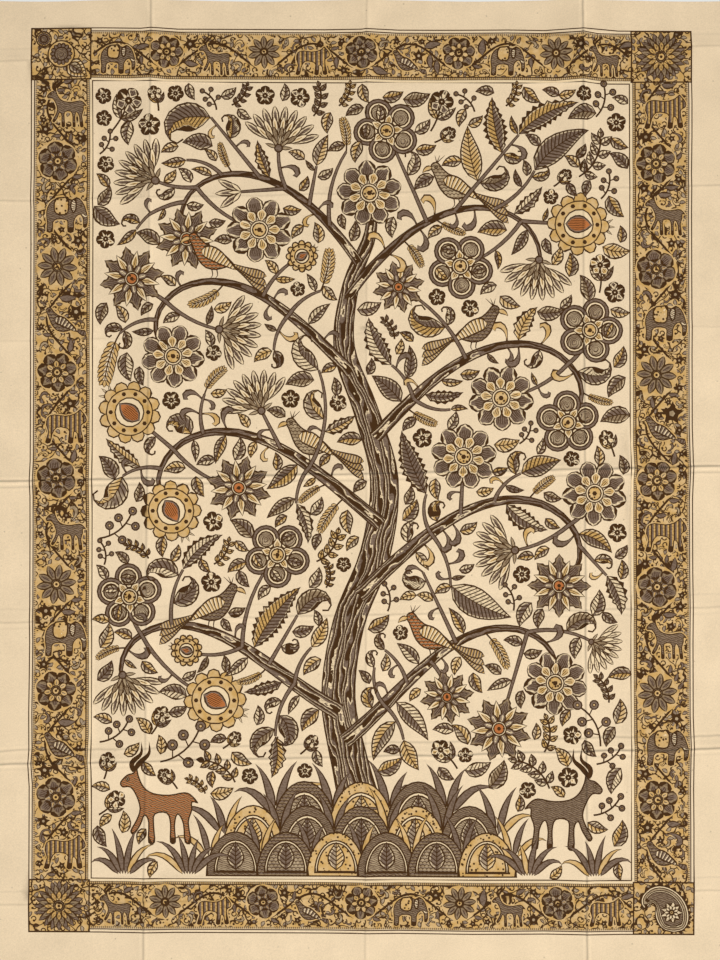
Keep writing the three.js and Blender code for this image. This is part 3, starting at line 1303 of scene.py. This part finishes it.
def make_cloth():
    edge = cloth_edge(EDGE_STEP)
    front = make_front(edge)
    back = make_back(edge)
    first_back = len(front.places)
    rim = rim_triangles(edge, front.places, back.places, first_back)
    faces = np.concatenate([front.triangles, back.triangles[:, ::-1] + first_back, rim])
    vertices = np.concatenate([face_points(front, CLOTH_THICKNESS), face_points(back, 0)])
    mesh = bpy.data.meshes.new("cloth")
    mesh.from_pydata((vertices * MM).tolist(), [], faces.tolist())
    add_ink(mesh, front, len(faces) - len(front.triangles))
    add_bake_map(mesh, front, back, len(edge))
    mesh.shade_smooth()
    sharpen_rim(mesh, np.unique(rim))
    return place_object("printed_panel", mesh)


def rim_triangles(edge, front, back, first_back):
    """The thin rim between the two faces, which share their outline's points."""
    upper = nearest_numbers(edge, front)
    lower = nearest_numbers(edge, back) + first_back
    upper_next = np.roll(upper, -1)
    lower_next = np.roll(lower, -1)
    return np.concatenate([
        np.column_stack([upper, lower, lower_next]),
        np.column_stack([upper, lower_next, upper_next]),
    ])


def on_map(places, band):
    """Places on the cloth, as places in a band of the texture map that runs along the cloth."""
    low, high = band
    along = MAP_MARGIN + (1 - 2 * MAP_MARGIN) * (places.imag / CLOTH_LENGTH + 0.5)
    across = low + (high - low) * (places.real / CLOTH_WIDTH + 0.5)
    return np.column_stack([along.ravel(), across.ravel()])


def add_bake_map(mesh, front, back, rim_length):
    """A flat map of the two faces and the rim."""
    share = np.arange(rim_length) / rim_length
    after = share + 1 / rim_length
    lower = np.full(rim_length, RIM_BAND[0])
    upper = np.full(rim_length, RIM_BAND[1])
    first = np.stack([share, upper, share, lower, after, lower], axis=1)
    second = np.stack([share, upper, after, lower, after, upper], axis=1)
    places = np.concatenate([
        on_map(front.places[front.triangles], FRONT_BAND),
        on_map(back.places[back.triangles[:, ::-1]], BACK_BAND),
        np.concatenate([first, second]).reshape(-1, 2),
    ])
    layer = mesh.uv_layers.new(name="OFBake")
    layer.data.foreach_set("uv", places.astype(np.float32).ravel())


def sharpen_rim(mesh, numbers):
    """Keeps the shading of the rim apart from that of the two faces."""
    ends = np.empty(2 * len(mesh.edges), np.int32)
    mesh.edges.foreach_get("vertices", ends)
    on_rim = np.isin(ends.reshape(-1, 2), numbers).all(axis=1)
    sharp = mesh.attributes.new("sharp_edge", "BOOLEAN", "EDGE")
    sharp.data.foreach_set("value", on_rim)


def nearest_numbers(wanted, places):
    return np.array([int(np.argmin(np.abs(places - point))) for point in wanted])


def add_vectors(mesh, name, values):
    layer = mesh.attributes.new(name, "FLOAT_VECTOR", "CORNER")
    layer.data.foreach_set("vector", values.astype(np.float32).ravel())


# Materials

def math_method(name, swapped=False):
    """A method that adds a Math node on a wire and the method's own values."""
    def apply(self, *others):
        values = (*others, self) if swapped else (self, *others)
        return self.graph.math(name, *values)

    return apply


class Wire:
    """A shader socket that takes part in sums; each sum adds a node."""

    def __init__(self, graph, socket):
        self.graph = graph
        self.socket = socket

    __add__ = math_method("ADD")
    __radd__ = math_method("ADD", swapped=True)
    __sub__ = math_method("SUBTRACT")
    __rsub__ = math_method("SUBTRACT", swapped=True)
    __mul__ = math_method("MULTIPLY")
    __rmul__ = math_method("MULTIPLY", swapped=True)
    __truediv__ = math_method("DIVIDE")
    __rtruediv__ = math_method("DIVIDE", swapped=True)
    __abs__ = math_method("ABSOLUTE")
    __lt__ = math_method("LESS_THAN")
    __gt__ = math_method("GREATER_THAN")
    fraction = math_method("FRACT")
    floor = math_method("FLOOR")
    sine = math_method("SINE")
    root = math_method("SQRT")
    at_least = math_method("MAXIMUM")
    at_most = math_method("MINIMUM")

    def clamped(self):
        return self.at_least(0.0).at_most(1.0)

    def equals(self, number):
        return abs(self - number) < 0.5

    def below(self, limit, soft):
        """1 where this is below the limit, 0 above it, eased over soft."""
        return ((limit - self) / soft + 0.5).clamped()


class Graph:
    """A material's node tree."""

    def __init__(self, name):
        self.material = bpy.data.materials.new(name)
        self.material.use_nodes = True
        self.tree = self.material.node_tree
        self.tree.nodes.clear()

    def node(self, kind, settings, inputs, output=0):
        """Adds a node, with its settings first, and returns one of its outputs if it has any."""
        made = self.tree.nodes.new(kind)
        for key, value in settings.items():
            if key == "stops":
                self.set_stops(made.color_ramp, value)
            else:
                setattr(made, key, value)
        for key, value in inputs.items():
            if isinstance(value, Wire):
                self.tree.links.new(value.socket, made.inputs[key])
            else:
                made.inputs[key].default_value = value
        return Wire(self, made.outputs[output]) if made.outputs else None

    def set_stops(self, ramp, colours):
        ramp.interpolation = "CONSTANT"
        for number, colour in enumerate(colours):
            place = number / len(colours)
            stop = ramp.elements[number] if number < 2 else ramp.elements.new(place)
            stop.position = place
            stop.color = colour

    def math(self, operation, *values):
        return self.node("ShaderNodeMath", {"operation": operation}, dict(enumerate(values)))

    def vector_math(self, operation, inputs):
        return self.node("ShaderNodeVectorMath", {"operation": operation}, inputs)

    def cells(self, place, scale, output="Distance", feature="F1", randomness=1.0):
        inputs = {"Vector": place, "Scale": scale, "Randomness": randomness}
        return self.node("ShaderNodeTexVoronoi", {"feature": feature}, inputs, output)

    def split(self, vector):
        parts = self.node("ShaderNodeSeparateXYZ", {}, {0: vector})
        outputs = parts.socket.node.outputs
        return [Wire(self, outputs[name]) for name in "XYZ"]

    def join(self, x, y, z):
        return self.node("ShaderNodeCombineXYZ", {}, {0: x, 1: y, 2: z})

    def attribute(self, name):
        return self.node("ShaderNodeAttribute", {"attribute_name": name}, {}, "Vector")

    def noise(self, place, scale, detail=2.0, output="Fac"):
        inputs = {"Vector": place, "Scale": scale, "Detail": detail}
        return self.node("ShaderNodeTexNoise", {}, inputs, output)

    def mix(self, factor, a, b, blend="MIX"):
        settings = {"data_type": "RGBA", "blend_type": blend}
        return self.node("ShaderNodeMix", settings, {"Factor": factor, 6: a, 7: b}, 2)

    def ramp(self, value, colours):
        """Colours chosen by whole number."""
        share = (value + 0.5) / len(colours)
        return self.node("ShaderNodeValToRGB", {"stops": colours}, {0: share})

    def choose(self, value, numbers):
        """Numbers chosen by whole number."""
        return self.ramp(value, [(number, number, number, 1.0) for number in numbers])


def linear(red, green, blue):
    """A colour as seen on a screen, 0 to 255, turned into the linear values that shaders use."""
    values = []
    for part in (red, green, blue):
        share = part / 255
        values.append(share / 12.92 if share <= 0.04045 else ((share + 0.055) / 1.055) ** 2.4)
    return (*values, 1.0)


DYE_COLOURS = {
    GROUND: linear(238, 214, 178),
    BLACK: linear(70, 44, 17),
    GREY: linear(127, 106, 89),
    OCHRE: linear(206, 164, 97),
    RUST: linear(186, 112, 60),
    PALE: linear(238, 213, 172),
    LIGHT_GREY: linear(152, 128, 97),
}


# The border's ground, in metres: stems, hooks and small leaves
LEAF_REACH = 0.0062
LEAF_HALF = 0.0036
LEAF_BOW = 0.0016
LEAF_LINE = 0.0014
HOOK_RADIUS = 0.0038
LEAF_SOFT = 0.0006
HOOK_HALF = 0.001
HOOK_OPEN = -1.5
HOOK_SOFT = 0.0005
BUD_ASIDE = 0.0005
BUD_DROP = 0.0036
BUD_RADIUS = 0.0021


def foliage(graph, place):
    """Dark stems, with a hook or a small leaf in each of the gaps, each turned its own way."""
    drift = graph.noise(place, 50.0, 1.0, "Color")
    offset = graph.vector_math("SUBTRACT", {0: drift, 1: (0.5, 0.5, 0.5)})
    moved = graph.vector_math("SCALE", {0: offset, "Scale": 0.02})
    bent = graph.vector_math("ADD", {0: place, 1: moved})
    stems = graph.cells(bent, 31.0, "Distance", "DISTANCE_TO_EDGE", 0.9)
    centre = graph.cells(place, 76.0, "Position", randomness=0.8)
    chance = graph.node("ShaderNodeTexWhiteNoise", {}, {"Vector": centre}, "Value")
    from_centre = graph.vector_math("SUBTRACT", {0: place, 1: centre})
    turning = {"Vector": from_centre, "Angle": chance * 6.283}
    x, y, _ = graph.split(graph.node("ShaderNodeVectorRotate", {"rotation_type": "Z_AXIS"}, turning))
    share = x / LEAF_REACH
    leaf_edge = (1.0 - share * share) * LEAF_HALF - abs(y + share * share * LEAF_BOW)
    leafy = (chance * 7.0).fraction() > 0.55
    dark_leaf = leaf_edge.below(LEAF_LINE, LEAF_SOFT) * (leaf_edge > 0.0)
    small = hook(graph, x, y) * (1.0 - leafy) + dark_leaf * leafy
    return small.at_least(stems.below(0.032, 0.02)), (leaf_edge > 0.0) * leafy


def hook(graph, x, y):
    """A curl open on one side, with a bud at one end."""
    around = (x * x + y * y).root()
    angle = graph.math("ARCTAN2", y, x)
    curl = abs(around - HOOK_RADIUS).below(HOOK_HALF, HOOK_SOFT) * (angle > HOOK_OPEN)
    bud_x = x - BUD_ASIDE
    bud_y = y + BUD_DROP
    return curl.at_least((bud_x * bud_x + bud_y * bud_y).root().below(BUD_RADIUS, HOOK_SOFT))


# Pitches of the lines inside the shapes, in millimetres
GRAIN_PITCH = 7.0
CHEVRON_PITCH = 7.5
HATCH_PITCH = 3.1
SCALE_PITCH = 7
SCALE_ROW = 5.5
DASH_PITCH = 3.4


def line_masks(graph, place, along, across, half, wobble):
    """For each figure: where its dark lines are, and where its second dye is."""
    side = abs(across)
    edge = half - side
    outline = (edge + wobble * 0.9 - (half * 0.3 + 0.6).at_most(LINE)).below(0.0, 0.7)
    streak = graph.noise(graph.join(along * 0.014, across * 0.07, 0.0), 1.0, 1.0) - 0.5
    grain = ((across + streak * 26 + wobble * 3 + (along / 24).sine() * 1.6) / GRAIN_PITCH).fraction()
    chevron = ((along - side * 0.8) / CHEVRON_PITCH).fraction()
    hatch = (across / HATCH_PITCH + wobble).fraction()
    band = along.fraction()
    row = (across / SCALE_ROW).floor()
    scale_x = (along / SCALE_PITCH + (row / 2).fraction()).fraction() - 0.5
    scale_y = (across / SCALE_ROW).fraction()
    scale_edge = abs((scale_x * scale_x + scale_y * scale_y * 0.7).root() - 0.55)
    dash = ((along * 0.35 + across + wobble * 6) / DASH_PITCH).fraction()
    masks = {
        BARK: (grain.below(0.5, 0.12), (grain > 0.84) * (half > 8.0)),
        VEINS: ((side.below(0.9, 0.6)).at_least(chevron.below(0.34, 0.16) * edge.below(30, 1)), across > 0),
        PETAL: (hatch.below(0.38, 0.2) * along.below(0.72, 0.1) * (edge > 4.6), edge < 4.4),
        BANDS: (band.below(0.3, 0.16), band > 0.65),
        SCALES: (scale_edge.below(0.1, 0.08), scale_y > 0.6),
        FUR: (dash.below(0.28, 0.2), dash > 0.7),
        FOLIAGE: foliage(graph, place),
    }
    return outline, masks


def print_colour(graph, place):
    """The dyed colour of the print at a place on it."""
    along, across, half = graph.split(graph.attribute("stroke"))
    dye, second, figure = graph.split(graph.attribute("ink"))
    wobble = graph.noise(place, 110.0, 2.0) - 0.5
    edge = half - abs(across)
    outline, masks = line_masks(graph, place, along, across, half, wobble)
    spots = graph.cells(place, 150.0)
    masks[SPOTS] = (spots.below(0.3, 0.1), spots > 0.9)
    lines = outline
    other = 0.0
    for number, (dark, changed) in masks.items():
        chosen = figure.equals(number)
        lines = lines.at_least(dark * chosen)
        other = changed * chosen + other
    x, y, _ = graph.split(place)
    brushed = graph.join(x * 0.55 + y * 0.3, y, 0.0)
    dabs = graph.noise(brushed, 330.0, 1.0).below(0.47, 0.08) * dye.equals(GREY) * 0.4
    colours = [DYE_COLOURS[number] for number in range(len(DYE_COLOURS))]
    ground = graph.mix(other, graph.ramp(dye, colours), graph.ramp(second, colours))
    rim = edge.below(LINE + 1.9, 0.5) * (half > 7.0) * figure.equals(VEINS)
    ground = graph.mix(rim * 0.8, ground, DYE_COLOURS[PALE])
    washed = dye.equals(OCHRE) + dye.equals(LIGHT_GREY)
    thin = graph.noise(place, 70.0, 3.0).below(0.5, 0.25) * washed * 0.34
    ground = graph.mix(thin, ground, DYE_COLOURS[PALE])
    ground = show_through(graph, x, y, figure.equals(BACK), ground)
    return graph.mix(lines.at_least(dabs), ground, DYE_COLOURS[BLACK])


def show_through(graph, x, y, under, colour):
    """On the underside, the border and the field as faint stains of the dye."""
    from_middle_x = abs(x - PRINT_CENTRE.real * MM)
    from_middle_y = abs(y - PRINT_CENTRE.imag * MM)
    soft = 0.004
    print_x = from_middle_x.below(PRINT_WIDTH / 2 * MM, soft)
    print_y = from_middle_y.below(PRINT_HEIGHT / 2 * MM, soft)
    field_x = from_middle_x.below(FIELD_WIDTH / 2 * MM, soft)
    field_y = from_middle_y.below(FIELD_HEIGHT / 2 * MM, soft)
    border = print_x * print_y * (1.0 - field_x * field_y)
    stains = graph.noise(graph.join(x, y, 0.0), 24.0, 2.0).below(0.5, 0.2) * field_x * field_y
    colour = graph.mix(border * under * 0.3, colour, DYE_COLOURS[OCHRE])
    return graph.mix((border * 0.12 + stains * 0.16) * under, colour, DYE_COLOURS[GREY])


# How dark the painted shade along each fold is: the crosswise ones from the head down, with a fainter
# painted shade line below or above some of them, and the lengthwise ones from left to right
CROSSWISE_PAINTED_SHADE = [0.16, 0.15, 0.07, 0.42, 0.16, 0.38, 0.16, 0.0]
LOWER_PAINTED_SHADE = [0.0, 0.0, 0.0, 0.17, 0.05, 0.05, 0.0, 0.0]
UPPER_PAINTED_SHADE = [0.06, 0.0, 0.0, 0.0, 0.06, 0.2, 0.08, 0.0]
LENGTHWISE_PAINTED_SHADE = [0.0, 0.26, 0.15, 0.32, 0.0]
LOWER_LINE = 11 * MM
UPPER_LINE = 22 * MM
# The lean of the middle lengthwise fold, and how much less each fold to its right leans, in millimetres
MIDDLE_LEAN = 2.7
LEAN_STEP = 9.0


def painted_fold_line(offset):
    """A fold's painted shade: 1 along its dark line, a little under 0 on the painted highlight of the pale
    lips beside it, 0 elsewhere.
    """
    away = abs(offset)
    return away.below(0.0015, 0.0022) - abs(away - 0.0052).below(0.001, 0.003) * 0.25


def crease_shade(graph, place):
    """How much darker the cloth is painted along its folds: painted shade on the crease lines, painted
    highlight beside them.
    """
    x, y, _ = graph.split(place)
    wander = (graph.noise(place, 9.0, 3.0) - 0.5) * 0.009
    uneven = graph.noise(place, 3.0, 2.0) * 1.6 + 0.2
    quarter = (x / (QUARTER * MM) + 0.5).floor()
    lean = (MIDDLE_LEAN - quarter * LEAN_STEP) * MM * y / (CLOTH_LENGTH * MM)
    lengthwise = x - lean - quarter * (QUARTER * MM) + wander * 0.5
    fold = (fold_place(0) * MM + x * FOLD_SLOPE - y) / (FOLD_PITCH * MM)
    number = (fold + 0.5).floor()
    crosswise = (fold - number) * (FOLD_PITCH * MM) + wander
    shade = painted_fold_line(lengthwise) * graph.choose(quarter + 2.0, LENGTHWISE_PAINTED_SHADE)
    shade = shade + painted_fold_line(crosswise) * graph.choose(number, CROSSWISE_PAINTED_SHADE)
    shade = shade + painted_fold_line(crosswise - LOWER_LINE) * graph.choose(number, LOWER_PAINTED_SHADE)
    shade = shade + painted_fold_line(crosswise + UPPER_LINE) * graph.choose(number, UPPER_PAINTED_SHADE)
    return shade * uneven


# The weave, in radians a metre, and the heights of its threads and of the cloth's slow puckers, in metres
WEAVE_RATE = 5200.0
WEAVE_HEIGHT = 0.00004
PUCKER_HEIGHT = 0.002


def cloth_surface_with_fold_shade(graph, place, colour):
    """Uneven dye, weave and slubs, with painted shade and painted highlight along the folds, over a colour;
    returns the shader.
    """
    blotch = graph.noise(place, 14.0, 3.0)
    speck = graph.noise(place, 520.0, 2.0)
    flecks = graph.cells(place, 38.0).below(0.055, 0.03)
    dirt = flecks * graph.noise(place, 3.0) * 0.5
    shade = (blotch - 0.5) * 0.22 + (speck - 0.5) * 0.34 + 1.0
    # Painted shade and painted highlight along the folds, and darker specks of dirt
    shade = shade * (1.0 - crease_shade(graph, place)) * (1.0 - dirt)
    colour = graph.mix(1.0, colour, graph.join(shade, shade, shade), "MULTIPLY")
    x, y, _ = graph.split(place)
    weave = (x * WEAVE_RATE).sine() + (y * WEAVE_RATE).sine()
    height = weave * WEAVE_HEIGHT + graph.noise(place, 14.0, 2.0) * PUCKER_HEIGHT
    bump = graph.node("ShaderNodeBump", {}, {"Strength": 1.0, "Distance": 1.0, "Height": height})
    roughness = speck * 0.1 + 0.85
    inputs = {"Base Color": colour, "Roughness": roughness, "Normal": bump, "Specular IOR Level": 0.15}
    return graph.node("ShaderNodeBsdfPrincipled", {}, inputs)


def finish_material(graph, shader):
    graph.node("ShaderNodeOutputMaterial", {}, {"Surface": shader})
    return graph.material


def printed_material():
    graph = Graph("printed_cotton")
    place = graph.node("ShaderNodeTexCoord", {}, {}, "Object")
    return finish_material(graph, cloth_surface_with_fold_shade(graph, place, print_colour(graph, place)))


# The scene

FLOOR_HALF = 4
FLOOR_GAP = 0.0006
CAMERA_HEIGHT = 1.5
CAMERA_LENS = 32.25
CAMERA_SENSOR = 36.0
CAMERA_AIM = (-0.0103, 0.0642)
CAMERA_TILT = 0.0086
OVERHEAD_PLACE = (0.25, -0.45, 2.7)
OVERHEAD_AIM = (0.0, -0.1, 0.0)
OVERHEAD_SIZE = 2.0
OVERHEAD_POWER = 42
KEY_WAY = (-1.0, 0.7, -1.3)
KEY_STRENGTH = 1.22
KEY_ANGLE = 0.35
STUDIO_COLOUR = (1.0, 0.99, 0.97, 1.0)
STUDIO_STRENGTH = 0.27


def make_floor():
    mesh = bpy.data.meshes.new("floor")
    corners = [(-1, -1), (1, -1), (1, 1), (-1, 1)]
    mesh.from_pydata([(x * FLOOR_HALF, y * FLOOR_HALF, 0) for x, y in corners], [], [(0, 1, 2, 3)])
    floor = place_object("floor", mesh)
    floor.location.z = -FLOOR_GAP
    graph = Graph("floor")
    inputs = {"Base Color": linear(240, 240, 238), "Roughness": 0.8}
    mesh.materials.append(finish_material(graph, graph.node("ShaderNodeBsdfPrincipled", {}, inputs)))


def make_camera():
    data = bpy.data.cameras.new("camera")
    data.lens = CAMERA_LENS
    data.sensor_width = CAMERA_SENSOR
    camera = place_object("camera", data)
    camera.location = (CAMERA_AIM[0], CAMERA_AIM[1] - CAMERA_HEIGHT * CAMERA_TILT, CAMERA_HEIGHT)
    camera.rotation_euler = (CAMERA_TILT, 0, 0)
    bpy.context.scene.camera = camera


def shining(way):
    """The turn of a light that shines a given way."""
    return Vector(way).to_track_quat("-Z", "Y").to_euler()


def make_lights():
    data = bpy.data.lights.new("overhead", "AREA")
    data.size = OVERHEAD_SIZE
    data.energy = OVERHEAD_POWER
    overhead = place_object("overhead", data)
    overhead.location = OVERHEAD_PLACE
    overhead.rotation_euler = shining(Vector(OVERHEAD_AIM) - Vector(OVERHEAD_PLACE))
    data = bpy.data.lights.new("key", "SUN")
    data.energy = KEY_STRENGTH
    data.angle = KEY_ANGLE
    place_object("key", data).rotation_euler = shining(KEY_WAY)


def make_studio():
    world = bpy.data.worlds.new("studio")
    world.use_nodes = True
    background = world.node_tree.nodes["Background"]
    background.inputs["Color"].default_value = STUDIO_COLOUR
    background.inputs["Strength"].default_value = STUDIO_STRENGTH
    bpy.context.scene.world = world
    bpy.context.scene.view_settings.view_transform = "Standard"


def main():
    draw_border_ground()
    draw_border()
    draw_corners()
    draw_field()
    cloth = make_cloth()
    cloth.data.materials.append(printed_material())
    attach(cloth, next(iter(frame["bodies"])))
    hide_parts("cloth")
    make_floor()
    make_camera()
    make_lights()
    make_studio()


main()
